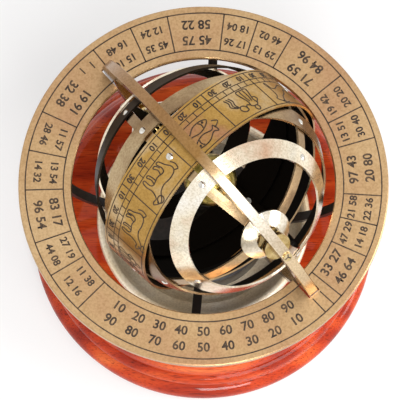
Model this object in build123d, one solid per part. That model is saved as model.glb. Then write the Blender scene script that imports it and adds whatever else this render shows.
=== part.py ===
from build123d import *
from math import cos, hypot, radians, sin, sqrt
import os

os.makedirs("parts", exist_ok=True)

# Desk armillary sphere: horizon ring on a four-legged cradle over a turned wooden base, a meridian ring
# that turns in the slots of the horizon ring, and a sphere of bands that spins on its polar axis.
# X and Y lie on the table, Z is up, the origin is the centre of the underside. All in millimetres.

# ---- wooden base, felt and dish ----
horizon_outer = 70.0
base_radius = horizon_outer - 5.2
felt_thickness = 1.5
felt_inner = 12.0
felt_outer = base_radius - 4.8
dish_floor = 20.0
dish_depth = 10.0
base_top = dish_floor + dish_depth
foot_radius = base_radius - 4.2
foot_bead_height = felt_thickness + 6.1
groove_radius = base_radius - 4.8
groove_bottom = felt_thickness + 11.1
groove_top = groove_bottom + 0.9
shoulder_bottom = groove_top + 5.9
shoulder_top = base_top - 2.7
hub_radius = 25.0
dish_sheet = 1.0
dish_floor_radius = hub_radius + 2.0
dish_step_radius = dish_floor_radius + 5.0
dish_step_height = dish_floor + 4.4
dish_ledge = 1.1
dish_ledge_rise = 0.5
dish_rim_radius = dish_step_radius + 6.4
dish_bead = 1.1

# ---- meridian ring: its plane stands in the slots, off centre and leaning ----
horizon_width = 20.2
horizon_inner = horizon_outer - horizon_width
horizon_thickness = 3.0
horizon_edge = 0.4
meridian_azimuth = -48.47
meridian_offset = 3.4
meridian_lean = 6.3
meridian_width = 7.0
meridian_inner = horizon_inner + 2.2
meridian_outer = meridian_inner + meridian_width
meridian_thickness = 4.1
meridian_edge = 0.25
running_gap = 0.3
hub_floor = 3.0
horizon_top = dish_floor + hub_floor + meridian_outer
horizon_under = horizon_top - horizon_thickness
slot_near_side = meridian_offset - meridian_thickness / 2 - 0.55
slot_far_side = meridian_offset + meridian_thickness / 2 + 0.6
zenith_pit_angle = 79.9
zenith_pit_radius = 0.45
zenith_pit_depth = 0.5

# ---- sphere ----
pole_angle = 35.9
sphere_spin = 11.0
obliquity = 23.5
polar_declination = 45.0
sheet = 0.8
colure_outer = horizon_inner - 7.1
colure_inner = colure_outer - sheet
colure_width = 4.1
band_width = 7.4
band_outer = colure_outer + sheet
zodiac_width = 21.2
zodiac_inner = hypot(band_outer, band_width / 2)
zodiac_outer = zodiac_inner + sheet
zodiac_seam_longitude = -3.4
zodiac_seam_gap = 0.3

# ---- rivets ----
rivet_radius = 0.8
rivet_head_radius = 1.4
rivet_head_height = 0.5
rivet_inner_height = 0.35

# ---- axis rod, ball, caps, threaded bushes and pivots ----
rod_radius = 1.8
ball_radius = 10.0
collar_radius = 3.2
collar_length = 3.0
collar_edge = 0.4
ball_flat = sqrt(ball_radius ** 2 - (collar_radius + 0.2) ** 2)
cap_radius = 10.4
cap_rim = 0.8
cap_seat = colure_outer + 2.2
cap_seat_radius = 5.0
bush_radius = 3.3
bush_end = meridian_inner - 1.6
socket_depth = 3.0
rod_end = bush_end - socket_depth
nut_across_flats = 9.6
nut_height = 3.0
nut_edge = 0.45
nut_bottom = cap_seat + 1.4
pin_radius = 0.95
pin_clearance = 0.05
pin_tip_gap = 0.4
stem_radius = 1.2
pivot_head_radius = 1.7
pivot_head_height = 1.1
pivot_head_sink = 0.4
spacer_radius = 5.4
spacer_thickness = 1.0
spacer_top = sqrt(meridian_inner ** 2 - spacer_radius ** 2)

# ---- cradle ----
leg_thickness = 2.0
leg_inner = horizon_inner + 3.2
leg_outer = leg_inner + leg_thickness
leg_width = 3.4
leg_azimuths = {"right": -3.9, "back": 86.1, "left": 176.1, "front": 266.1}
leg_foot_end = leg_outer + 6.0
hub_bottom = dish_floor
hub_height = 11.0
hub_top = hub_bottom + hub_height
hub_chamfer = 0.8
hub_notch_depth = 1.0
hub_notch_play = 0.1
leg_tab_radius = hub_radius - hub_notch_depth
leg_tab_bottom = hub_bottom + 2.0
leg_tab_top = horizon_top - sqrt(leg_inner ** 2 - leg_tab_radius ** 2)
screw_radius = 1.0
screw_head_radius = 1.65
screw_head_height = 1.1
hub_screw_height = hub_bottom + 7.0
hub_screw_length = 5.0
horizon_screw_radius = leg_outer + 2.5
horizon_screw_cover = 1.0
bolt_radius = 2.5
bolt_clearance = 0.1
bolt_head_radius = 4.4
bolt_head_height = 3.0
bolt_end = felt_thickness + 0.9
base_counterbore_radius = 9.5
base_counterbore_top = felt_thickness + 6.5
washer_radius = 7.5
washer_thickness = 1.2
base_nut_across_flats = 8.0
base_nut_height = 3.6


def saved(part, node):
    """Writes one solid or group of solids under its node name."""
    part.label = node
    export_step(part, f"parts/{node}.step")
    return part


def turned(*edges):
    """Solid turned about Z from a closed outline of (radius, height) edges."""
    return revolve(Plane.XZ * make_face(list(edges)), Axis.Z, 360)


def turned_polygon(*corners):
    """Solid turned about Z from the corners of its half section."""
    return revolve(Plane.XZ * make_face(Polyline(*corners, close=True)), Axis.Z, 360)


def bulge(start, end, rise):
    """Arc whose middle stands out by rise, to the right of the way from start to end."""
    way = hypot(end[0] - start[0], end[1] - start[1])
    middle_radius = (start[0] + end[0]) / 2 + rise * (end[1] - start[1]) / way
    middle_height = (start[1] + end[1]) / 2 - rise * (end[0] - start[0]) / way
    return ThreePointArc(start, (middle_radius, middle_height), end)


def rod(radius, low, high):
    """Cylinder on the Z axis between two heights."""
    return Pos(0, 0, low) * Cylinder(radius, high - low, align=(Align.CENTER, Align.CENTER, Align.MIN))


def tube(inner, outer, low, high):
    """Hollow cylinder on the Z axis between two heights."""
    return rod(outer, low, high) - rod(inner, low - 1, high + 1)


def hexagon(across_flats, low, high):
    """Hexagonal prism on the Z axis with its corners turned off."""
    corner_radius = across_flats / sqrt(3)
    prism = Pos(0, 0, low) * extrude(RegularPolygon(corner_radius, 6), high - low)
    blank = chamfer(rod(corner_radius, low, high).edges().group_by(Axis.Z)[-1], nut_edge)
    return prism & blank


# Directions of the meridian plane and of the sphere.
slot_direction = Vector(cos(radians(meridian_azimuth)), sin(radians(meridian_azimuth)), 0)
side_direction = Vector(-sin(radians(meridian_azimuth)), cos(radians(meridian_azimuth)), 0)
lean = radians(meridian_lean)
plane_up = side_direction * -sin(lean) + Vector(0, 0, cos(lean))
plane_normal = side_direction * cos(lean) + Vector(0, 0, sin(lean))
sphere_centre = side_direction * meridian_offset + Vector(0, 0, horizon_top)
pole = slot_direction * cos(radians(pole_angle)) + plane_up * sin(radians(pole_angle))
across_pole = slot_direction * -sin(radians(pole_angle)) + plane_up * cos(radians(pole_angle))
spin = radians(sphere_spin)
solstice_direction = across_pole * cos(spin) + plane_normal * -sin(spin)
meridian_place = Plane(origin=sphere_centre, x_dir=slot_direction, z_dir=plane_normal * -1).location
axis_place = Plane(origin=sphere_centre, x_dir=across_pole, z_dir=pole).location
sphere_place = Plane(origin=sphere_centre, x_dir=solstice_direction, z_dir=pole).location
cross_slot = Rot(0, 0, meridian_azimuth)

# ---- base: felt, turned wood, dish ----
saved(tube(felt_inner, felt_outer, 0, felt_thickness), "base_felt")

dish_under = dish_floor - dish_sheet
step_in = (dish_step_radius - 0.2, dish_step_height)
step_out = (step_in[0] + dish_ledge, step_in[1] + dish_ledge_rise)
under_floor_edge = (dish_floor_radius + 0.6, dish_under)
under_step_in = (step_in[0] + dish_sheet, step_in[1] - 0.8 * dish_sheet)
under_step_out = (step_out[0] + 0.7 * dish_sheet, step_out[1] - dish_sheet)
rim_seat = (dish_rim_radius, base_top)
rim_crest = (dish_rim_radius - dish_sheet, base_top + dish_sheet / 2)
rim_edge = (dish_rim_radius + 2 * dish_bead, base_top)
dish_back = [
    Line((0, dish_under), under_floor_edge),
    bulge(under_floor_edge, under_step_in, 1.25),
    Line(under_step_in, under_step_out),
    bulge(under_step_out, rim_seat, 0.8),
]
dish_face = [
    Line((0, dish_floor), (dish_floor_radius, dish_floor)),
    bulge((dish_floor_radius, dish_floor), step_in, 1.3),
    Line(step_in, step_out),
    bulge(step_out, rim_crest, 0.8),
    bulge(rim_crest, rim_edge, -dish_bead),
]
dish_middle = Line((0, dish_under), (0, dish_floor))
dish_blank = turned(*dish_back, Line(rim_seat, rim_edge), *dish_face, dish_middle)
bolt_bore = bolt_radius + bolt_clearance
saved(dish_blank - rod(bolt_bore, 0, horizon_top), "brass_dish")

recess_top = base_top + dish_depth
dish_recess = turned(
    *dish_back,
    Line(rim_seat, (dish_rim_radius, recess_top)),
    Line((dish_rim_radius, recess_top), (0, recess_top)),
    Line((0, recess_top), (0, dish_under)),
)
foot_edge = (foot_radius, felt_thickness)
bead_crest = (base_radius, foot_bead_height)
bead_end = (foot_radius + 0.4, groove_bottom - 0.1)
groove_start = (groove_radius, groove_bottom)
groove_end = (groove_radius, groove_top)
band_end = (groove_radius + 0.4, shoulder_bottom)
shoulder_start = (groove_radius - 0.6, shoulder_bottom + 0.3)
shoulder_end = (groove_radius - 3.4, shoulder_top)
top_edge = (groove_radius - 6.8, base_top)
wood_outline = [
    Line((0, felt_thickness), foot_edge),
    bulge(foot_edge, bead_crest, 1.3),
    bulge(bead_crest, bead_end, 1.1),
    Line(bead_end, groove_start),
    Line(groove_start, groove_end),
    bulge(groove_end, band_end, 1.7),
    Line(band_end, shoulder_start),
    bulge(shoulder_start, shoulder_end, 0.7),
    bulge(shoulder_end, top_edge, 0.75),
    Line(top_edge, (0, base_top)),
    Line((0, base_top), (0, felt_thickness)),
]
wooden_base = turned(*wood_outline) - dish_recess
wooden_base -= rod(bolt_bore, 0, base_top)
wooden_base -= rod(base_counterbore_radius, 0, base_counterbore_top)
saved(wooden_base, "wooden_base")

# ---- cradle: hub, bolt, four legs and their screws ----
groove_reach = meridian_thickness / 2 + running_gap
groove = rod(meridian_outer + running_gap, -groove_reach, groove_reach)
cradle_hub = rod(hub_radius, hub_bottom, hub_top)
cradle_hub = chamfer(cradle_hub.edges().group_by(Axis.Z)[-1], hub_chamfer)
cradle_hub -= meridian_place * groove
cradle_hub -= rod(bolt_bore, 0, horizon_top)
cradle_hub -= rod(bolt_head_radius + bolt_clearance, hub_top - bolt_head_height, horizon_top)

leg_section = Pos(0, horizon_top) * (Circle(leg_outer) - Circle(leg_inner))
leg_reach = leg_foot_end - leg_tab_radius
leg_drop = horizon_under - leg_tab_bottom
leg_corner = Pos(leg_tab_radius + leg_reach / 2, horizon_under - leg_drop / 2)
leg_section &= leg_corner * Rectangle(leg_reach, leg_drop)
foot_start = leg_inner
foot_length = leg_foot_end - foot_start
foot_place = Pos(foot_start + foot_length / 2, horizon_under - leg_thickness / 2)
leg_section += foot_place * Rectangle(foot_length, leg_thickness)
tab_place = Pos(leg_tab_radius + leg_thickness / 2, (leg_tab_bottom + leg_tab_top) / 2)
leg_section += tab_place * Rectangle(leg_thickness, leg_tab_top - leg_tab_bottom)
leg_blank = extrude(Plane.XZ * leg_section, leg_width / 2, both=True)

horizon_hole_top = horizon_top - horizon_screw_cover
horizon_screw = rod(screw_radius, horizon_under - leg_thickness, horizon_hole_top)
screw_head_low = horizon_under - leg_thickness - screw_head_height
horizon_screw += rod(screw_head_radius, screw_head_low, horizon_under - leg_thickness)
horizon_screw = Pos(horizon_screw_radius, 0, 0) * horizon_screw
leg_face = leg_tab_radius + leg_thickness
hub_screw_shape = rod(screw_radius, leg_face - hub_screw_length, leg_face)
hub_screw_shape += rod(screw_head_radius, leg_face, leg_face + screw_head_height)
hub_screw = Pos(0, 0, hub_screw_height) * Rot(0, 90, 0) * hub_screw_shape
leg = leg_blank - horizon_screw - hub_screw

hub_notch = Pos(leg_tab_radius, 0, 0) * Box(
    2 * hub_radius,
    leg_width + 2 * hub_notch_play,
    2 * horizon_top,
    align=(Align.MIN, Align.CENTER, Align.CENTER),
)
for azimuth in leg_azimuths.values():
    cradle_hub -= Rot(0, 0, azimuth) * hub_notch
    cradle_hub -= Rot(0, 0, azimuth) * hub_screw
saved(cradle_hub, "cradle_hub")
for side, azimuth in leg_azimuths.items():
    saved(Rot(0, 0, azimuth) * leg, f"cradle_leg_{side}")
saved(Compound([Rot(0, 0, azimuth) * hub_screw for azimuth in leg_azimuths.values()]), "hub_screws")
saved(Compound([Rot(0, 0, azimuth) * horizon_screw for azimuth in leg_azimuths.values()]), "horizon_screws")

cradle_bolt = rod(bolt_radius, bolt_end, hub_top - bolt_head_height)
cradle_bolt += rod(bolt_head_radius, hub_top - bolt_head_height, hub_top)
saved(cradle_bolt, "cradle_bolt")
washer_low = base_counterbore_top - washer_thickness
saved(tube(bolt_bore, washer_radius, washer_low, base_counterbore_top), "base_washer")
base_nut = hexagon(base_nut_across_flats, washer_low - base_nut_height, washer_low)
saved(base_nut - rod(bolt_radius, 0, base_top), "base_nut")

# ---- horizon ring with its two slots ----
horizon_ring = tube(horizon_inner, horizon_outer, horizon_under, horizon_top)
horizon_ring = chamfer(horizon_ring.edges(), horizon_edge)
slot_length = 2 * (meridian_outer + running_gap)
slot_width = slot_far_side - slot_near_side
slot_place = Pos(0, (slot_far_side + slot_near_side) / 2, horizon_top)
horizon_ring -= cross_slot * slot_place * Box(slot_length, slot_width, 4 * horizon_thickness)
for azimuth in leg_azimuths.values():
    horizon_ring -= Rot(0, 0, azimuth) * horizon_screw
saved(horizon_ring, "horizon_ring")

# ---- meridian ring with its two pivots ----
half_thickness = meridian_thickness / 2
meridian_blank = tube(meridian_inner, meridian_outer, -half_thickness, half_thickness)
meridian_blank = chamfer(meridian_blank.edges().filter_by(GeomType.CIRCLE), meridian_edge)
pit = Pos(0, 0, meridian_outer - zenith_pit_depth) * rod(zenith_pit_radius, 0, 2)
pit = Rot(0, 0, zenith_pit_angle) * Rot(0, 90, 0) * pit

head_seat = meridian_outer - pivot_head_sink
pin_tip = rod_end + pin_tip_gap
pivot = rod(pin_radius, pin_tip, spacer_top)
pivot += rod(stem_radius, spacer_top, head_seat)
pivot += rod(pivot_head_radius, head_seat, head_seat + pivot_head_height)
pivot_bore = rod(stem_radius, meridian_inner - 3, head_seat)
pivot_bore += rod(pivot_head_radius + pin_clearance, head_seat, meridian_outer + 2)
spacer = tube(pin_radius + pin_clearance, spacer_radius, spacer_top - spacer_thickness, spacer_top)
south = Rot(180, 0, 0)

meridian_ring = meridian_place * (meridian_blank - pit)
meridian_ring -= axis_place * pivot_bore
meridian_ring -= axis_place * south * pivot_bore
saved(meridian_ring, "meridian_ring")
saved(axis_place * pivot, "north_pivot")
saved(axis_place * south * pivot, "south_pivot")
saved(Compound([axis_place * spacer, axis_place * south * spacer]), "pivot_spacers")

# ---- polar axis: rod, ball, collars, threaded bushes and nuts ----
saved(sphere_place * rod(rod_radius, -rod_end, rod_end), "axis_rod")
earth_ball = Sphere(ball_radius) & rod(ball_radius, -ball_flat, ball_flat)
saved(sphere_place * (earth_ball - rod(rod_radius, -ball_radius, ball_radius)), "earth_ball")
collar = tube(rod_radius, collar_radius, ball_flat, ball_flat + collar_length)
collar = chamfer(collar.edges().group_by(Axis.Z)[-1].sort_by(SortBy.RADIUS)[-1], collar_edge)
saved(Compound([sphere_place * collar, sphere_place * south * collar]), "earth_collars")
bush = rod(bush_radius, cap_seat, bush_end) - rod(rod_radius, 0, rod_end)
bush -= rod(pin_radius + pin_clearance, rod_end, bush_end + 1)
saved(Compound([sphere_place * bush, sphere_place * south * bush]), "polar_bushes")
nut = hexagon(nut_across_flats, nut_bottom, nut_bottom + nut_height) - rod(bush_radius, 0, bush_end)
saved(Compound([sphere_place * nut, sphere_place * south * nut]), "polar_nuts")

# ---- polar caps: domes that rest on the crossing of the colures ----
cap_rim_height = sqrt(colure_outer ** 2 - cap_radius ** 2) + cap_rim
dome_span = (cap_radius ** 2 - cap_seat_radius ** 2) / (cap_seat - cap_rim_height)
dome_centre = (cap_seat + cap_rim_height - dome_span) / 2
dome_radius = hypot(cap_radius, cap_rim_height - dome_centre)
cap = Pos(0, 0, dome_centre) * Sphere(dome_radius)
cap &= rod(cap_radius, dome_centre, cap_seat)
cap -= Sphere(colure_outer)
cap -= rod(rod_radius, 0, rod_end)
saved(sphere_place * cap, "north_cap")
saved(sphere_place * south * cap, "south_cap")


# ---- rivets where the bands cross the colures ----
def outward(declination, longitude):
    """Place at the centre of the sphere with its Z axis towards a point of the sky."""
    return Rot(0, 0, longitude) * Rot(0, 90 - declination, 0)


def rivet(outer):
    """Rivet from inside the colures to a domed head on the given radius."""
    inner_seat = sqrt(colure_inner ** 2 - rivet_head_radius ** 2)
    dome_sphere = (rivet_head_radius ** 2 + rivet_head_height ** 2) / (2 * rivet_head_height)
    head = Pos(0, 0, outer + rivet_head_height - dome_sphere) * Sphere(dome_sphere)
    head &= rod(rivet_head_radius, outer, outer + 2 * rivet_head_height)
    shank = rod(rivet_radius, inner_seat, outer)
    return shank + head + rod(rivet_head_radius, inner_seat - rivet_inner_height, inner_seat)


latitudes = {
    "arctic_band": polar_declination,
    "north_tropic_band": obliquity,
    "equator_band": 0.0,
    "south_tropic_band": -obliquity,
    "antarctic_band": -polar_declination,
}
through_zodiac = [(obliquity, 0.0), (-obliquity, 180.0), (0.0, 90.0), (0.0, 270.0)]
longitudes = (0.0, 90.0, 180.0, 270.0)
crossings = [(latitude, longitude) for latitude in latitudes.values() for longitude in longitudes]
band_only = [crossing for crossing in crossings if crossing not in through_zodiac]
band_rivets = [outward(*crossing) * rivet(band_outer) for crossing in band_only]
zodiac_rivets = [outward(*crossing) * rivet(zodiac_outer) for crossing in through_zodiac]
saved(sphere_place * Compound(band_rivets), "band_rivets")
saved(sphere_place * Compound(zodiac_rivets), "zodiac_rivets")
shank_hole = rod(rivet_radius, colure_inner - 2, zodiac_outer + 2)
all_shanks = [outward(*crossing) * shank_hole for crossing in crossings]


def hoop(latitude, inner, outer, width):
    """Strip of sheet rolled into a hoop that touches the sphere along one latitude."""
    slope = radians(latitude)
    corners = []
    for radius, along in ((inner, -width / 2), (outer, -width / 2), (outer, width / 2), (inner, width / 2)):
        corners.append((radius * cos(slope) - along * sin(slope), radius * sin(slope) + along * cos(slope)))
    return turned_polygon(*corners)


# ---- colures: one full ring through the poles, two half hoops butted on it ----
shell = Sphere(colure_outer) - Sphere(colure_inner)
solstice_colure = shell & Box(3 * colure_outer, colure_width, 3 * colure_outer)
half_align = (Align.CENTER, Align.MIN, Align.CENTER)
half_box = Box(colure_width, 2 * colure_outer, 3 * colure_outer, align=half_align)
equinox_colure = shell & (Pos(0, colure_width / 2, 0) * half_box)
solstice_colure -= rod(rod_radius, -rod_end, rod_end)
colures = {
    "solstice_colure": solstice_colure,
    "equinox_colure_east": equinox_colure,
    "equinox_colure_west": Rot(0, 0, 180) * equinox_colure,
}
for node, part in colures.items():
    saved(sphere_place * (part - all_shanks), node)

# ---- bands of latitude and the zodiac band with its butt seam ----
for node, latitude in latitudes.items():
    saved(sphere_place * (hoop(latitude, colure_outer, band_outer, band_width) - all_shanks), node)

seam = Pos(zodiac_outer, 0, 0) * Box(4 * sheet, zodiac_seam_gap, 2 * zodiac_width)
zodiac_band = hoop(0, zodiac_inner, zodiac_outer, zodiac_width) - Rot(0, 0, zodiac_seam_longitude) * seam
zodiac_band = Rot(0, -obliquity, 0) * zodiac_band
zodiac_shanks = [outward(*crossing) * shank_hole for crossing in through_zodiac]
saved(sphere_place * (zodiac_band - zodiac_shanks), "zodiac_band")
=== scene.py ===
from math import cos, hypot, pi, radians, sin

import bpy
from mathutils import Matrix, Vector


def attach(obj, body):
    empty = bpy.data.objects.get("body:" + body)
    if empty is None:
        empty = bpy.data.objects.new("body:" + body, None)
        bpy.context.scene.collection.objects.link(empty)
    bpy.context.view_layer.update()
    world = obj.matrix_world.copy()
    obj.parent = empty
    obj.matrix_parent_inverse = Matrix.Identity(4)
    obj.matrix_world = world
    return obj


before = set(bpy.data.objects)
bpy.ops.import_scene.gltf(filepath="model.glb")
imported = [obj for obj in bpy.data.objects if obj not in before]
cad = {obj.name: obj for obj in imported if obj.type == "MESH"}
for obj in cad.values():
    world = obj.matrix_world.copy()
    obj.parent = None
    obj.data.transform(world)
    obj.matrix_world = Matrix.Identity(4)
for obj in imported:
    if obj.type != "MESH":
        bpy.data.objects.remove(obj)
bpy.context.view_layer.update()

mm = 0.001

# ---- sizes shared with the solids ----
horizon_top = 82.0
meridian_azimuth = radians(-48.47)
meridian_offset = 3.4
meridian_lean = radians(6.3)
pole_angle = radians(35.9)
sphere_spin = radians(11.0)
obliquity = radians(23.5)
band_outer = 43.5
band_width = 7.4
zodiac_outer = hypot(band_outer, band_width / 2) + 0.8
cap_seat = 44.9
nut_bottom = 46.3
nut_top = 49.3
bush_end = 50.4
bush_radius = 3.3
pivot_head_top = 59.7

# ---- directions of the meridian plane, the sphere and the zodiac band ----
slot_direction = Vector((cos(meridian_azimuth), sin(meridian_azimuth), 0))
side_direction = Vector((-sin(meridian_azimuth), cos(meridian_azimuth), 0))
plane_up = side_direction * -sin(meridian_lean) + Vector((0, 0, cos(meridian_lean)))
plane_normal = side_direction * cos(meridian_lean) + Vector((0, 0, sin(meridian_lean)))
sphere_centre = side_direction * meridian_offset + Vector((0, 0, horizon_top))
pole = slot_direction * cos(pole_angle) + plane_up * sin(pole_angle)
across_pole = slot_direction * -sin(pole_angle) + plane_up * cos(pole_angle)
solstice_direction = across_pole * cos(sphere_spin) - plane_normal * sin(sphere_spin)
equinox_direction = pole.cross(solstice_direction)
zodiac_pole = pole * cos(obliquity) - solstice_direction * sin(obliquity)
zodiac_summer = solstice_direction * cos(obliquity) + pole * sin(obliquity)


def placed(x_axis, y_axis, z_axis, origin):
    """Matrix that takes a piece from its own axes, in metres, to a place given in millimetres."""
    turn = Matrix((x_axis, y_axis, z_axis)).transposed().to_4x4()
    return Matrix.Translation(Vector(origin) * mm) @ turn


axis_place = placed(across_pole, pole.cross(across_pole), pole, sphere_centre)
sphere_place = placed(solstice_direction, equinox_direction, pole, sphere_centre)
zodiac_place = placed(-equinox_direction, -zodiac_summer, -zodiac_pole, sphere_centre)

# ---- sizes of engraving, threads and surface marks ----
engraving_rise = 0.015
horizon_line = 0.52
horizon_outer_circle = 67.4
horizon_inner_circle = 53.0
outer_row = 63.0
inner_row = 56.9
large_figures = 4.9
small_figures = 3.9
figure_weight = 0.13
zodiac_line = 0.42
seam_longitude = -3.4
thread_pitch = 0.5
thread_height = 0.28
thread_root = 0.05
slot_arm_reach = 1.35
slot_arm_width = 0.55
mark_distance = 0.0001


# ---------------------------------------------------------------- materials
def linear(hex_colour):
    """Linear colour, with alpha, of an sRGB hex value."""
    channels = [int(hex_colour[i:i + 2], 16) / 255 for i in (1, 3, 5)]
    return [c / 12.92 if c <= 0.04045 else ((c + 0.055) / 1.055) ** 2.4 for c in channels] + [1.0]


def add(tree, kind, sockets=None, stops=None, **settings):
    """Adds a node with its settings, its socket values or links, and the stops of a colour ramp."""
    node = tree.nodes.new(kind)
    for name, value in settings.items():
        setattr(node, name, value)
    for name, value in (sockets or {}).items():
        if isinstance(value, bpy.types.NodeSocket):
            tree.links.new(value, node.inputs[name])
        else:
            node.inputs[name].default_value = value
    if stops:
        while len(node.color_ramp.elements) < len(stops):
            node.color_ramp.elements.new(1.0)
        for element, (position, colour) in zip(node.color_ramp.elements, stops):
            element.position = position
            element.color = linear(colour)
    return node


def multiplied(tree, base, tint, share):
    """Colour socket of base multiplied by tint, by a share."""
    sockets = {"Factor": share, "A": base, "B": tint}
    mix = add(tree, "ShaderNodeMix", sockets, data_type="RGBA", blend_type="MULTIPLY")
    return mix.outputs["Result"]


def material(name, **shader_values):
    """New material with one principled shader; returns it, its tree, the shader and object coordinates."""
    made = bpy.data.materials.new(name)
    made.use_nodes = True
    tree = made.node_tree
    tree.nodes.clear()
    shader = add(tree, "ShaderNodeBsdfPrincipled", shader_values)
    add(tree, "ShaderNodeOutputMaterial", {"Surface": shader.outputs["BSDF"]})
    place = add(tree, "ShaderNodeTexCoord").outputs["Object"]
    return made, tree, shader, place


def lacquered_wood():
    """Hardwood turned across the plank, stained red under clear lacquer: streaks, dark pores, soft gloss."""
    made, tree, shader, place = material("lacquered_red_hardwood", Roughness=0.45, IOR=1.5)
    shader.inputs["Specular IOR Level"].default_value = 0.05
    shader.inputs["Coat Weight"].default_value = 0.4
    shader.inputs["Coat Roughness"].default_value = 0.04
    along = add(tree, "ShaderNodeMapping", {"Vector": place, "Scale": (3, 130, 130)}).outputs["Vector"]
    streaks = {"Vector": along, "Scale": 1.0, "Detail": 3.0, "Roughness": 0.45}
    streak = add(tree, "ShaderNodeTexNoise", streaks)
    colour = add(
        tree,
        "ShaderNodeValToRGB",
        {"Fac": streak.outputs["Fac"]},
        stops=[(0.2, "#6E160A"), (0.38, "#9A2A0E"), (0.52, "#B43A14"), (0.66, "#C85222"), (0.8, "#D8703A")],
    )
    grain = add(tree, "ShaderNodeMapping", {"Vector": place, "Scale": (160, 2600, 2600)}).outputs["Vector"]
    pores = add(tree, "ShaderNodeTexNoise", {"Vector": grain, "Scale": 1.0, "Detail": 2.0})
    pore_stops = [(0.3, "#8A5A4A"), (0.48, "#FFFFFF")]
    pore_tone = add(tree, "ShaderNodeValToRGB", {"Fac": pores.outputs["Fac"]}, stops=pore_stops)
    toned = multiplied(tree, colour.outputs["Color"], pore_tone.outputs["Color"], 0.8)
    tree.links.new(toned, shader.inputs["Base Color"])
    return made


def green_felt():
    """Pressed wool felt: matt, with a soft sheen."""
    made, tree, shader, place = material("pressed_green_felt", Roughness=0.95)
    shader.inputs["Sheen Weight"].default_value = 0.4
    fibre = add(tree, "ShaderNodeTexNoise", {"Vector": place, "Scale": 2500.0, "Detail": 3.0})
    greens = [(0.3, "#0F2A1C"), (0.7, "#1D4530")]
    colour = add(tree, "ShaderNodeValToRGB", {"Fac": fibre.outputs["Fac"]}, stops=greens)
    tree.links.new(colour.outputs["Color"], shader.inputs["Base Color"])
    return made


def brass(name, shades, roughness, patch=40.0, marks=1200.0, mark_depth=0.12):
    """Bare brass: its tone drifts in patches, fine specks dull it, grinding marks break up its gloss."""
    made, tree, shader, place = material(name, Metallic=1.0, Roughness=roughness)
    patches = {"Vector": place, "Scale": patch, "Detail": 4.0, "Roughness": 0.55}
    drift = add(tree, "ShaderNodeTexNoise", patches)
    first_stop, stop_span = 0.34, 0.32
    spread = [first_stop + stop_span * i / (len(shades) - 1) for i in range(len(shades))]
    colour = add(tree, "ShaderNodeValToRGB", {"Fac": drift.outputs["Fac"]}, stops=list(zip(spread, shades)))
    speck = add(tree, "ShaderNodeTexNoise", {"Vector": place, "Scale": marks, "Detail": 3.0})
    dull_stops = [(0.35, "#D2CABC"), (0.6, "#FFFFFF")]
    dull = add(tree, "ShaderNodeValToRGB", {"Fac": speck.outputs["Fac"]}, stops=dull_stops)
    toned = multiplied(tree, colour.outputs["Color"], dull.outputs["Color"], 0.5)
    tree.links.new(toned, shader.inputs["Base Color"])
    ground = {"Height": speck.outputs["Fac"], "Strength": mark_depth, "Distance": mark_distance}
    bump = add(tree, "ShaderNodeBump", ground)
    tree.links.new(bump.outputs["Normal"], shader.inputs["Normal"])
    return made, tree, shader, place, toned


def vector_math(tree, first, second, operation):
    """Result socket of a vector operation: the number for a dot product, else the vector."""
    outputs = add(tree, "ShaderNodeVectorMath", {0: first, 1: second}, operation=operation).outputs
    return outputs["Value" if operation == "DOT_PRODUCT" else "Vector"]


def hoop_brass(name, shades, roughness, inner_shade="#15110D"):
    """Rolled brass strip, bright outside and dark on the face that looks at the centre."""
    made, tree, shader, place, tone = brass(name, shades, roughness)
    from_centre = vector_math(tree, place, [c * mm for c in sphere_centre], "SUBTRACT")
    normal = add(tree, "ShaderNodeTexCoord").outputs["Normal"]
    facing = vector_math(tree, from_centre, normal, "DOT_PRODUCT")
    looks_inward, inner_roughness = -0.02, 0.5
    inside = add(tree, "ShaderNodeMath", {0: facing, 1: looks_inward}, operation="LESS_THAN").outputs["Value"]
    shades_by_side = {"Factor": inside, "A": tone, "B": linear(inner_shade)}
    sides = add(tree, "ShaderNodeMix", shades_by_side, data_type="RGBA")
    tree.links.new(sides.outputs["Result"], shader.inputs["Base Color"])
    gloss = add(tree, "ShaderNodeMix", {"Factor": inside, "A": roughness, "B": inner_roughness})
    tree.links.new(gloss.outputs["Result"], shader.inputs["Roughness"])
    return made


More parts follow.
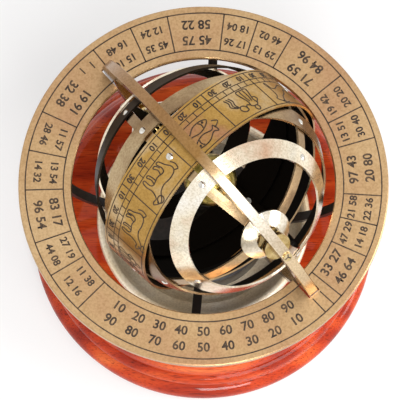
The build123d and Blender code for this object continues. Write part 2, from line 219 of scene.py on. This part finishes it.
def meridian_brass():
    """Flat ring on edge: rim tan to golden, with a painted highlight near the pole; flat sides dark brown as
    painted shade.
    """
    made, tree, shader, place, tone = brass("meridian_brass_painted_highlight_and_shade", ("#E8E0D4", "#FFFFFF"), 0.26)
    from_centre = vector_math(tree, place, [c * mm for c in sphere_centre], "SUBTRACT")
    reach = vector_math(tree, from_centre, tuple(slot_direction), "DOT_PRODUCT")
    ring_reach = 0.06
    span = {"Value": reach, "From Min": -ring_reach, "From Max": ring_reach}
    share = add(tree, "ShaderNodeMapRange", span).outputs["Result"]
    patch_noise = add(tree, "ShaderNodeTexNoise", {"Vector": place, "Scale": 70.0, "Detail": 3.0}).outputs["Fac"]
    wander = 0.16
    moved = add(tree, "ShaderNodeMath", {0: patch_noise, 1: wander, 2: share}, operation="MULTIPLY_ADD")
    shift = add(tree, "ShaderNodeMath", {0: moved.outputs[0], 1: wander / 2}, operation="SUBTRACT").outputs[0]
    # the pale stops of this ramp paint a highlight along the rim near the pole; the patch noise wobbles its
    # edge
    rim = add(
        tree,
        "ShaderNodeValToRGB",
        {"Fac": shift},
        stops=[
            (0.08, "#B49270"), (0.3, "#A8825A"), (0.5, "#AC8450"),
            (0.64, "#DCCCB0"), (0.76, "#F6EEE0"), (0.95, "#DCC6A4"),
        ],
    )
    toned = multiplied(tree, rim.outputs["Color"], tone, 1.0)
    normal = add(tree, "ShaderNodeTexCoord").outputs["Normal"]
    across = vector_math(tree, normal, tuple(plane_normal), "DOT_PRODUCT")
    across = add(tree, "ShaderNodeMath", {0: across}, operation="ABSOLUTE").outputs["Value"]
    # the flat sides get a dark brown tint: painted shade
    flat_side = 0.9
    flat = add(tree, "ShaderNodeMath", {0: across, 1: flat_side}, operation="GREATER_THAN").outputs["Value"]
    dark = multiplied(tree, tone, linear("#7C6246"), 1.0)
    sides = add(tree, "ShaderNodeMix", {"Factor": flat, "A": toned, "B": dark}, data_type="RGBA")
    tree.links.new(sides.outputs["Result"], shader.inputs["Base Color"])
    return made


def spun_brass():
    """Bowl spun on a lathe and buffed: pale, with close tool rings that draw its highlights out radially."""
    shades = ("#E6D0AA", "#F2E4C8", "#FCF6EA")
    made, tree, shader, place, tone = brass("spun_pale_brass", shades, 0.3, patch=30.0)
    shader.inputs["Metallic"].default_value = 0.4
    rings = add(
        tree,
        "ShaderNodeTexWave",
        {"Vector": place, "Scale": 420.0, "Distortion": 1.5, "Detail": 2.0},
        wave_type="RINGS",
        rings_direction="Z",
    )
    tooled = {"Height": rings.outputs["Fac"], "Strength": 0.12, "Distance": mark_distance}
    bump = add(tree, "ShaderNodeBump", tooled)
    tree.links.new(bump.outputs["Normal"], shader.inputs["Normal"])
    return made


def black_enamel():
    """Brushed black enamel on steel strip: satin, with soft highlights."""
    made, tree, shader, place = material("satin_black_enamel", Roughness=0.38)
    brush = add(tree, "ShaderNodeTexNoise", {"Vector": place, "Scale": 700.0, "Detail": 2.0})
    blacks = [(0.3, "#120F0E"), (0.7, "#272120")]
    colour = add(tree, "ShaderNodeValToRGB", {"Fac": brush.outputs["Fac"]}, stops=blacks)
    tree.links.new(colour.outputs["Color"], shader.inputs["Base Color"])
    brushed = {"Height": brush.outputs["Fac"], "Strength": 0.15, "Distance": mark_distance}
    bump = add(tree, "ShaderNodeBump", brushed)
    tree.links.new(bump.outputs["Normal"], shader.inputs["Normal"])
    return made


def blackened_steel():
    """Oil-blackened steel of the small fasteners."""
    made, tree, shader, place = material("blackened_steel", Metallic=1.0, Roughness=0.38)
    patches = add(tree, "ShaderNodeTexNoise", {"Vector": place, "Scale": 900.0})
    blacks = [(0.3, "#1A1918"), (0.7, "#34312D")]
    colour = add(tree, "ShaderNodeValToRGB", {"Fac": patches.outputs["Fac"]}, stops=blacks)
    tree.links.new(colour.outputs["Color"], shader.inputs["Base Color"])
    return made


def engraving_wax():
    """Brown-black wax rubbed into the engraved lines: matt, worn thin in places; the same brown-black is the
    painted shade of the pivot slots.
    """
    made, tree, shader, place = material("brown_wax_and_slot_shade", Roughness=0.75)
    patch_noise = add(tree, "ShaderNodeTexNoise", {"Vector": place, "Scale": 420.0, "Detail": 3.0})
    browns = [(0.35, "#24180F"), (0.7, "#584430")]
    colour = add(tree, "ShaderNodeValToRGB", {"Fac": patch_noise.outputs["Fac"]}, stops=browns)
    tree.links.new(colour.outputs["Color"], shader.inputs["Base Color"])
    return made


enamel = black_enamel()
steel = blackened_steel()
wax_and_slot_shade = engraving_wax()
fitting_brass = brass("polished_fitting_brass", ("#B89C62", "#D9C08A", "#EEDDB4"), 0.16, patch=120.0)[0]
cap_brass = brass("scratched_pale_cap_brass", ("#B4A892", "#D6CBB8", "#F2EBDD"), 0.2, patch=90.0)[0]
ball_brass = brass("yellow_ball_brass", ("#8E7A34", "#C9B05C", "#E2CF86"), 0.3, patch=110.0)[0]
silvered_rivet = brass("silvered_rivet_heads", ("#CFCBC2", "#F4F2EC"), 0.15, patch=300.0)[0]
sanded_shades = ("#BE9670", "#C6A378", "#CFAF84")
horizon_brass = brass("sanded_horizon_brass", sanded_shades, 0.34, patch=28.0, mark_depth=0.25)[0]
strip_brass = hoop_brass("rolled_brass_strip", ("#7E644A", "#A58A68", "#C6AE88"), 0.24)
# dark copy of the strip brass for the south tropic band: painted shade
painted_shade_strip = hoop_brass("strip_brass_painted_shade", ("#17120E", "#2A221A"), 0.42)
# near-white copy of the strip brass for the polar bands: painted highlight
pole_hoop_painted_highlight = hoop_brass("hoop_brass_painted_highlight", ("#DCB698", "#F4E8D0", "#FFFAF0"), 0.2)
wide_band_brass = hoop_brass("golden_zodiac_brass", ("#B68660", "#B8904E", "#C49C58", "#D0B488"), 0.32)

finishes = {
    "wooden_base": lacquered_wood(),
    "base_felt": green_felt(),
    "brass_dish": spun_brass(),
    "horizon_ring": horizon_brass,
    "meridian_ring": meridian_brass(),
    "zodiac_band": wide_band_brass,
    "earth_ball": ball_brass,
    "arctic_band": pole_hoop_painted_highlight,
    "antarctic_band": pole_hoop_painted_highlight,
    "south_tropic_band": painted_shade_strip,
    "north_cap": cap_brass,
    "south_cap": cap_brass,
    "band_rivets": silvered_rivet,
    "zodiac_rivets": silvered_rivet,
}
for node in ("north_tropic_band", "equator_band", "solstice_colure"):
    finishes[node] = strip_brass
for node in ("equinox_colure_east", "equinox_colure_west"):
    finishes[node] = strip_brass
for node in ("axis_rod", "earth_collars", "polar_bushes", "polar_nuts"):
    finishes[node] = fitting_brass
for node in ("north_pivot", "south_pivot", "pivot_spacers"):
    finishes[node] = fitting_brass
for node in ("cradle_hub", "cradle_leg_right", "cradle_leg_back", "cradle_leg_left", "cradle_leg_front"):
    finishes[node] = enamel
for node in ("hub_screws", "horizon_screws", "cradle_bolt", "base_washer", "base_nut"):
    finishes[node] = steel
for node, finish in finishes.items():
    cad[node].data.materials.clear()
    cad[node].data.materials.append(finish)


# ---------------------------------------------------------------- engraving
def deselect():
    bpy.ops.object.select_all(action="DESELECT")


def written(text, size, matrix):
    """Bold figures cut flat, as a mesh whose place is in its points; matrix is in metres."""
    deselect()
    bpy.ops.object.text_add()
    piece = bpy.context.object
    piece.data.body = text
    piece.data.size = size * mm
    piece.data.offset = figure_weight * mm
    piece.data.align_x = "CENTER"
    piece.data.align_y = "CENTER"
    piece.data.resolution_u = 3
    bpy.ops.object.convert(target="MESH")
    piece = bpy.context.object
    piece.data.transform(matrix)
    return piece


def joined(pieces, name, finish, body):
    """Joins cuts or turned parts into one named piece that rides on a body."""
    deselect()
    for piece in pieces:
        piece.select_set(True)
    bpy.context.view_layer.objects.active = pieces[0]
    bpy.ops.object.join()
    whole = bpy.context.object
    whole.name = name
    whole.data.materials.clear()
    whole.data.materials.append(finish)
    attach(whole, body)
    return whole


def polyline_cut(points, width):
    """Flat ribbon of one width along points (x, y) in millimetres, in the XY plane."""
    curve = bpy.data.curves.new("cut", "CURVE")
    curve.dimensions = "3D"
    curve.extrude = width / 2 * mm
    spline = curve.splines.new("POLY")
    spline.points.add(len(points) - 1)
    for point, (x, y) in zip(spline.points, points):
        point.co = (x * mm, y * mm, 0, 1)
        point.tilt = pi / 2
    piece = bpy.data.objects.new("cut", curve)
    bpy.context.scene.collection.objects.link(piece)
    deselect()
    piece.select_set(True)
    bpy.context.view_layer.objects.active = piece
    bpy.ops.object.convert(target="MESH")
    return bpy.context.object


def polar(radius, azimuth):
    """Point (x, y) at a radius and an azimuth in degrees."""
    return radius * cos(radians(azimuth)), radius * sin(radians(azimuth))


lift = Matrix.Translation((0, 0, (horizon_top + engraving_rise) * mm))


def on_horizon(radius, azimuth):
    """Place on the horizon ring whose upward direction points at the centre."""
    x, y = polar(radius, azimuth)
    return lift @ Matrix.Translation((x * mm, y * mm, 0)) @ Matrix.Rotation(radians(azimuth) + pi / 2, 4, "Z")


def horizon_engraving():
    """Two circles, cells with two rows of figures, ticks at the slots, a scale of tens at the front."""
    cells = [
        (-39.5, -24.2, -13.4, -3.4),
        (-3.4, 16.2, 27.3, 39.6),
        (39.6, 60.2, 72.2, 83.3),
        (83.3, 101.8, 114.3, 128.3),
        (135.7, 154.7, 168.2, 181.5),
        (181.5, 199.4, 211.3, 225.2),
    ]
    spokes = {angle: (horizon_inner_circle, horizon_outer_circle) for cell in cells for angle in cell}
    spokes.update({-43.1: (60.2, 67.4), -46.9: (60.2, 67.4), 131.8: (61.6, 64.7), 135.7: (62.4, 65.5)})
    cuts = []
    for radius in (horizon_inner_circle, horizon_outer_circle):
        cuts.append(polyline_cut([polar(radius, turn * 2) for turn in range(181)], horizon_line))
    for azimuth, reach in spokes.items():
        cuts.append(polyline_cut([polar(radius, azimuth) for radius in reach], horizon_line))
    for cut in cuts:
        cut.data.transform(lift)
    count = 7
    for start, wide_end, middle, end in cells:
        for row in (outer_row, inner_row):
            count += 11
            wide = f"{10 + count * 7 % 90} {10 + count * 13 % 90}"
            first = f"{10 + count * 3 % 50} {count % 60:02d}"
            second = f"{10 + count * 9 % 50} {count * 2 % 60:02d}"
            cuts.append(written(wide, large_figures, on_horizon(row, (start + wide_end) / 2)))
            cuts.append(written(first, small_figures, on_horizon(row, (wide_end + middle) / 2)))
            cuts.append(written(second, small_figures, on_horizon(row, (middle + end) / 2)))
    scale_start, scale_step = 236.0, 8.5
    for step in range(9):
        azimuth = scale_start + scale_step * step
        cuts.append(written(str(10 + step * 10), large_figures, on_horizon(inner_row, azimuth)))
        cuts.append(written(str(90 - step * 10), large_figures, on_horizon(outer_row, azimuth)))
    return joined(cuts, "horizon_engraving", wax_and_slot_shade, "stand")


# ---- zodiac band: drawn flat and upright, then bent round the band ----
def ellipse(x, y, wide, high, turn=0.0, start=0.0, end=2 * pi, steps=20):
    """Points of an ellipse or part of one."""
    points = []
    for i in range(steps + 1):
        a = start + (end - start) * i / steps
        px, py = wide * cos(a), high * sin(a)
        points.append((x + px * cos(turn) - py * sin(turn), y + px * sin(turn) + py * cos(turn)))
    return points


def flowing(corners, closed=False, steps=4):
    """Smooth stroke through corner points."""
    if closed:
        ring = [corners[-1], *corners, corners[0], corners[1]]
    else:
        ring = [corners[0], *corners, corners[-1]]
    points = []
    for before, start, end, after in zip(ring, ring[1:], ring[2:], ring[3:]):
        for i in range(steps):
            t = i / steps
            point = []
            for p0, p1, p2, p3 in zip(before, start, end, after):
                bend = (2 * p0 - 5 * p1 + 4 * p2 - p3) * t ** 2 + (3 * p1 - p0 - 3 * p2 + p3) * t ** 3
                point.append(p1 + ((p2 - p0) * t + bend) / 2)
            points.append(tuple(point))
    points.append(ring[-2])
    return points


def beast(horns=None, mane=False):
    """Four-legged animal in outline that looks to the right."""
    body = [
        (-6.0, 2.2), (-3.0, 2.7), (0.4, 2.2), (3.2, 2.9), (5.0, 4.6), (6.5, 5.3), (8.0, 4.5), (9.2, 3.2),
        (8.4, 2.6), (6.8, 2.8), (5.9, 1.4), (5.5, -0.6), (5.9, -3.0), (5.6, -5.2), (4.5, -5.2), (4.4, -2.4),
        (3.2, -1.2), (0.0, -1.7), (-3.0, -1.0), (-3.9, -2.6), (-3.4, -5.2), (-4.7, -5.2), (-5.6, -2.6),
        (-6.9, 0.2),
    ]
    strokes = [flowing(body, closed=True)]
    strokes.append(flowing([(2.8, -1.4), (2.4, -3.2), (3.0, -5.2), (1.9, -5.2), (1.4, -3.0), (1.4, -1.5)]))
    strokes.append(flowing([(-1.6, -1.4), (-2.2, -3.2), (-1.4, -5.2), (-2.6, -5.2), (-3.3, -3.2)]))
    strokes.append(flowing([(-6.4, 1.6), (-8.0, 2.6), (-8.6, 0.4), (-7.8, -1.6)]))
    strokes.append(ellipse(7.3, 4.3, 0.25, 0.25, steps=6))
    if horns == "curled":
        strokes.append(ellipse(5.6, 4.5, 1.5, 1.4, 0, 0.6, 6.0))
    if horns == "long":
        strokes.append(flowing([(6.2, 5.2), (5.2, 6.0), (6.0, 7.0)]))
        strokes.append(flowing([(7.0, 5.1), (8.4, 5.8), (7.9, 7.0)]))
    if mane:
        locks = [(6.0, 5.4), (4.2, 5.2), (4.4, 3.6), (3.0, 2.6), (4.2, 1.2), (3.8, -0.4), (5.2, -0.6)]
        strokes.append(flowing(locks))
    return strokes


def fish(x, y, turn):
    """Fish in outline with tail and eye."""
    outline = [
        (-6.4, 1.6), (-4.6, 0.5), (-1.0, 1.9), (2.6, 1.5), (4.8, 0.0), (2.6, -1.5), (-1.0, -1.9),
        (-4.6, -0.5), (-6.4, -1.6),
    ]
    eye = ellipse(3.0, 0.4, 0.3, 0.3, steps=6)
    gill = ellipse(1.2, 0, 0.8, 1.4, 0, -1.3, 1.3)
    ahead, aside = Vector((cos(turn), sin(turn))), Vector((-sin(turn), cos(turn)))
    strokes = []
    for stroke in (flowing(outline, closed=True), eye, gill):
        strokes.append([tuple(Vector((x, y)) + ahead * px + aside * py) for px, py in stroke])
    return strokes


def person(x, winged=False):
    """Standing robed figure: head, robe, folds and arms."""
    robe = [
        (x - 0.6, 3.2), (x - 1.8, 2.4), (x - 1.5, 0.0), (x - 2.8, -5.2), (x, -5.6), (x + 2.8, -5.2),
        (x + 1.5, 0.0), (x + 1.8, 2.4), (x + 0.6, 3.2),
    ]
    strokes = [ellipse(x, 4.3, 1.0, 1.2), flowing(robe)]
    strokes.append(flowing([(x - 1.7, 2.2), (x - 3.4, 0.6), (x - 2.6, -0.8), (x - 1.4, -0.4)]))
    strokes.append(flowing([(x + 1.7, 2.2), (x + 3.2, 1.4), (x + 4.2, 2.8)]))
    strokes.append(flowing([(x - 0.4, 0.6), (x - 0.9, -2.4), (x - 0.8, -5.2)]))
    strokes.append(flowing([(x + 0.5, 0.4), (x + 0.9, -2.4), (x + 1.0, -5.2)]))
    if winged:
        for side in (-1, 1):
            wing = [(1.6, 2.6), (5.0, 4.8), (7.4, 1.8), (4.6, 0.2), (1.6, 0.8)]
            strokes.append(flowing([(x + side * reach, height) for reach, height in wing]))
    return strokes


def pitcher_bearer():
    """Robed figure that pours from a jar."""
    strokes = person(-2.4)
    strokes.append(flowing([(1.6, 3.4), (3.4, 3.8), (4.6, 2.2), (3.6, 0.8), (2.0, 1.4)], closed=True))
    for shift in (0.0, 1.1, 2.2):
        stream = [(4.2 + shift * 0.3, 1.0), (4.8 + shift, -1.0), (4.2 + shift, -3.0), (5.0 + shift, -5.0)]
        strokes.append(flowing(stream))
    return strokes


def clawed(tail):
    """Crab, or scorpion with a raised tail."""
    strokes = [ellipse(0, 0, 2.9, 2.2), flowing([(-2.4, 0.8), (0, 1.4), (2.4, 0.8)])]
    for side in (1, -1):
        for reach in (-1.8, -0.4, 1.0):
            leg = [(side * 2.5, reach * 0.6), (side * 4.6, reach + 0.5), (side * 5.8, reach - 1.6)]
            strokes.append(flowing(leg))
        strokes.append(flowing([(side * 1.6, 1.8), (side * 3.2, 3.0), (side * 2.6, 4.2)]))
        strokes.append(ellipse(side * 2.4, 4.7, 1.5, 0.8, side * 1.0, 0.5, 5.8))
    if tail:
        sting = [(-0.6, -2.2), (0.4, -4.2), (3.4, -5.2), (6.6, -4.4), (7.6, -2.0), (6.6, -0.8), (7.8, -0.2)]
        strokes.append(flowing(sting))
    return strokes


def scales():
    """Balance with two pans."""
    beam = flowing([(-5.8, 3.4), (0, 4.4), (5.8, 3.4)])
    strokes = [[(0, 5.4), (0, -4.6)], beam, [(-2.0, -4.9), (2.0, -4.9)]]
    for x in (-5.8, 5.8):
        strokes.append([(x - 2.2, -1.6), (x, 3.4), (x + 2.2, -1.6), (x - 2.2, -1.6)])
        strokes.append(ellipse(x, -1.6, 2.2, 1.2, 0, pi, 2 * pi))
    return strokes


def archer():
    """Beast with a bow drawn over its back."""
    bow = ellipse(1.6, 3.6, 1.2, 3.0, 0.3, -pi / 2, pi / 2)
    return beast() + [bow, [bow[0], (-1.4, 3.0), bow[-1]], [(-1.4, 3.0), (4.4, 4.6)]]


def sea_goat():
    """Horned forepart of a goat that ends in a curled fish tail."""
    outline = [
        (6.6, -5.2), (5.6, -5.2), (4.8, -2.6), (2.0, -2.4), (-2.4, -4.4), (-6.2, -3.6), (-7.4, -0.6),
        (-5.8, 1.2), (-4.4, 0.2), (-5.2, -1.4), (-3.4, -1.8), (-0.4, 0.8), (2.6, 2.4), (4.6, 4.6),
        (6.2, 4.8), (8.0, 3.4), (7.0, 2.6), (6.0, 1.2), (5.8, -2.0),
    ]
    strokes = [flowing(outline, closed=True)]
    strokes.append(flowing([(5.0, 4.8), (3.8, 5.8), (2.0, 5.6)]))
    strokes.append(flowing([(5.6, 5.0), (5.2, 6.2), (3.6, 6.8)]))
    strokes.append(flowing([(-7.2, 0.2), (-8.8, 1.6), (-7.0, 2.6), (-5.8, 1.2)]))
    return strokes


def zodiac_engraving():
    """Strip of figures, ladder of five-degree cells and twelve panels, drawn flat along X and bent round."""
    girth = 2 * pi * zodiac_outer
    signs, rungs, arc_points = 12, 72, 240
    panel = girth / signs
    border, strip_top, ladder_top, panel_middle = 9.6, -5.7, -3.3, 3.1
    cuts = []
    for height in (-border, strip_top, ladder_top, border):
        along = [(girth * (i / arc_points - 0.5), height) for i in range(arc_points + 1)]
        cuts.append(polyline_cut(along, zodiac_line * 0.8))
    for rung in range(rungs):
        x = girth * (rung / rungs - 0.5)
        cuts.append(polyline_cut([(x, strip_top), (x, ladder_top)], zodiac_line * 0.8))
    cord_of_fishes = flowing([(-5.6, 1.6), (-8.4, 0), (-6.4, -1.6)])
    drawings = [
        beast(horns="curled"),
        beast(horns="long"),
        person(-3.2) + person(3.2),
        clawed(tail=False),
        beast(mane=True),
        person(0, winged=True),
        scales(),
        clawed(tail=True),
        archer(),
        sea_goat(),
        pitcher_bearer(),
        fish(0.6, 2.6, 0.12) + fish(-0.6, -2.6, pi + 0.12) + [cord_of_fishes],
    ]
    for number, strokes in enumerate(drawings):
        left = girth * (number / signs - 0.5)
        middle = left + panel / 2
        cuts.append(polyline_cut([(left, -border), (left, border)], zodiac_line))
        for stroke in strokes:
            cuts.append(polyline_cut([(middle + x, panel_middle + y) for x, y in stroke], zodiac_line * 1.15))
        for third, figure in ((-1, 10), (0, 20), (1, 30)):
            place = Matrix.Translation(((middle + third * panel / 3) * mm, (strip_top - border) / 2 * mm, 0))
            cuts.append(written(str(figure), 3.4, place))
    flat = joined(cuts, "zodiac_engraving", wax_and_slot_shade, "sphere")
    flat.data.transform(Matrix.Rotation(pi / 2, 4, "X") @ Matrix.Rotation(pi, 4, "Z"))
    deselect()
    flat.select_set(True)
    bpy.context.view_layer.objects.active = flat
    bend = flat.modifiers.new("round_the_band", "SIMPLE_DEFORM")
    bend.deform_method = "BEND"
    bend.deform_axis = "Z"
    bend.angle = 2 * pi
    bpy.ops.object.modifier_apply(modifier=bend.name)
    flat.data.transform(Matrix.Translation((0, -zodiac_outer * mm, 0)))
    grow = 1 + engraving_rise / zodiac_outer
    flat.data.transform(Matrix.Diagonal((grow, grow, 1, 1)))
    flat.data.transform(Matrix.Rotation(radians(180 - seam_longitude), 4, "Z"))
    flat.data.transform(zodiac_place)
    return flat


# ---- polar hardware: threads of the bushes, slots on the pivot heads drawn as painted shade ----
def thread(low, high):
    """Screw thread on a bush between two distances from the centre: a ridge wound round it, ends closed."""
    deselect()
    ridge = bpy.data.meshes.new("ridge")
    inner = (bush_radius - thread_root) * mm
    outer = (bush_radius + thread_height) * mm
    corners = [(inner, 0, 0), (outer, 0, thread_pitch * 0.45 * mm), (inner, 0, thread_pitch * 0.9 * mm)]
    ridge.from_pydata(corners, [(0, 1), (1, 2), (2, 0)], [])
    piece = bpy.data.objects.new("ridge", ridge)
    bpy.context.scene.collection.objects.link(piece)
    piece.select_set(True)
    bpy.context.view_layer.objects.active = piece
    wind = piece.modifiers.new("wind", "SCREW")
    wind.screw_offset = thread_pitch * mm
    wind.iterations = int((high - low) / thread_pitch - 0.9)
    wind.steps = 36
    wind.render_steps = 36
    bpy.ops.object.modifier_apply(modifier=wind.name)
    bpy.ops.object.mode_set(mode="EDIT")
    bpy.ops.mesh.select_all(action="SELECT")
    bpy.ops.mesh.remove_doubles(threshold=1e-7)
    bpy.ops.mesh.fill_holes(sides=4)
    bpy.ops.mesh.normals_make_consistent(inside=False)
    bpy.ops.object.mode_set(mode="OBJECT")
    piece.data.transform(Matrix.Translation((0, 0, (low + 0.03) * mm)))
    return piece


def polar_threads():
    """Threads that show below and above the nut at both poles."""
    ridges = []
    for turn in (Matrix.Identity(4), Matrix.Rotation(pi, 4, "X")):
        for low, high in ((cap_seat, nut_bottom), (nut_top, bush_end)):
            ridge = thread(low, high)
            ridge.data.transform(sphere_place @ turn)
            ridges.append(ridge)
    return joined(ridges, "bush_threads", fitting_brass, "sphere")


def pivot_slots():
    """Three-armed slot on the head of each pivot, drawn as flat dark marks: painted shade."""
    on_head = Matrix.Translation((0, 0, (pivot_head_top + engraving_rise) * mm))
    arms = []
    for turn in (Matrix.Identity(4), Matrix.Rotation(pi, 4, "X")):
        for angle in (90, 210, 330):
            # each dark ribbon on the head stands for the shade inside the slot: painted shade
            arm = polyline_cut([(0, 0), polar(slot_arm_reach, angle)], slot_arm_width)
            arm.data.transform(axis_place @ turn @ on_head)
            arms.append(arm)
    return joined(arms, "pivot_slots", wax_and_slot_shade, "meridian")


horizon_engraving()
zodiac_engraving()
polar_threads()
pivot_slots()

# ---------------------------------------------------------------- floor, light and camera
# a hair under the felt, so that the two faces don't flicker into each other
floor_gap = 0.0002
deselect()
bpy.ops.mesh.primitive_plane_add(size=6.0, location=(0, 0, -floor_gap))
floor = bpy.context.object
floor.name = "floor"


def seen_white(tree):
    """Factor that is 1 for rays that come from the camera, a reflection or a clear body."""
    path = add(tree, "ShaderNodeLightPath").outputs
    seen = path["Is Camera Ray"]
    for kind in ("Is Glossy Ray", "Is Transmission Ray"):
        seen = add(tree, "ShaderNodeMath", {0: seen, 1: path[kind]}, operation="MAXIMUM").outputs[0]
    return seen


def white_floor():
    """White paper: keeps a soft shadow of the object, and is partly its own white where it is looked at."""
    made, tree, shader, place = material("white_paper_floor", Roughness=0.9)
    shader.inputs["Base Color"].default_value = linear("#F4F3F2")
    glow = add(tree, "ShaderNodeEmission", {"Color": linear("#FFFFFF"), "Strength": 1.0})
    own_white = 0.55
    share = add(tree, "ShaderNodeMath", {0: seen_white(tree), 1: own_white}, operation="MULTIPLY")
    paper = add(tree, "ShaderNodeMixShader", {0: share.outputs[0], 1: shader.outputs[0], 2: glow.outputs[0]})
    tree.links.new(paper.outputs[0], tree.nodes["Material Output"].inputs["Surface"])
    return made


floor.data.materials.append(white_floor())

world = bpy.data.worlds.new("studio")
bpy.context.scene.world = world
world.use_nodes = True
sky = world.node_tree
sky.nodes.clear()
room = add(sky, "ShaderNodeBackground", {"Color": linear("#FFFFFF"), "Strength": 0.6})
white = add(sky, "ShaderNodeBackground", {"Color": linear("#FFFFFF"), "Strength": 1.0})
chosen = add(sky, "ShaderNodeMixShader", {0: seen_white(sky), 1: room.outputs[0], 2: white.outputs[0]})
add(sky, "ShaderNodeOutputWorld", {"Surface": chosen.outputs[0]})


def softbox(name, place, target, wide, high, watts):
    """Rectangular lamp that faces a target; places in metres."""
    deselect()
    bpy.ops.object.light_add(type="AREA", location=place)
    lamp = bpy.context.object
    lamp.name = name
    lamp.data.shape = "RECTANGLE"
    lamp.data.size = wide
    lamp.data.size_y = high
    lamp.data.energy = watts
    lamp.rotation_euler = (Vector(target) - Vector(place)).to_track_quat("-Z", "Y").to_euler()
    return lamp


middle = (0, 0, 0.07)
softbox("window_above", (0.3, -0.3, 0.95), middle, 0.5, 0.5, 4.0)
softbox("window_right", (0.8, -0.1, 0.3), middle, 0.4, 0.3, 3.0)
softbox("window_front", (0.12, -0.72, 0.5), middle, 0.3, 0.3, 5.0)

picture_width = 400
photo_scale = 2.647
camera_elevation = radians(76)
camera_distance = 6000.0
horizon_centre_pixel = (203.5, 185.5)
aim_x = (picture_width / 2 - horizon_centre_pixel[0]) / photo_scale
aim_y = (horizon_centre_pixel[1] - picture_width / 2) / photo_scale / sin(camera_elevation)
aim = Vector((aim_x, aim_y, horizon_top))
back = Vector((0, -cos(camera_elevation), sin(camera_elevation)))
bpy.ops.object.camera_add(
    location=(aim + back * camera_distance) * mm, rotation=(pi / 2 - camera_elevation, 0, 0)
)
camera = bpy.context.object
camera.data.sensor_width = 36.0
camera.data.lens = camera.data.sensor_width * camera_distance * photo_scale / picture_width
bpy.context.scene.camera = camera
bpy.context.scene.view_settings.view_transform = "Standard"
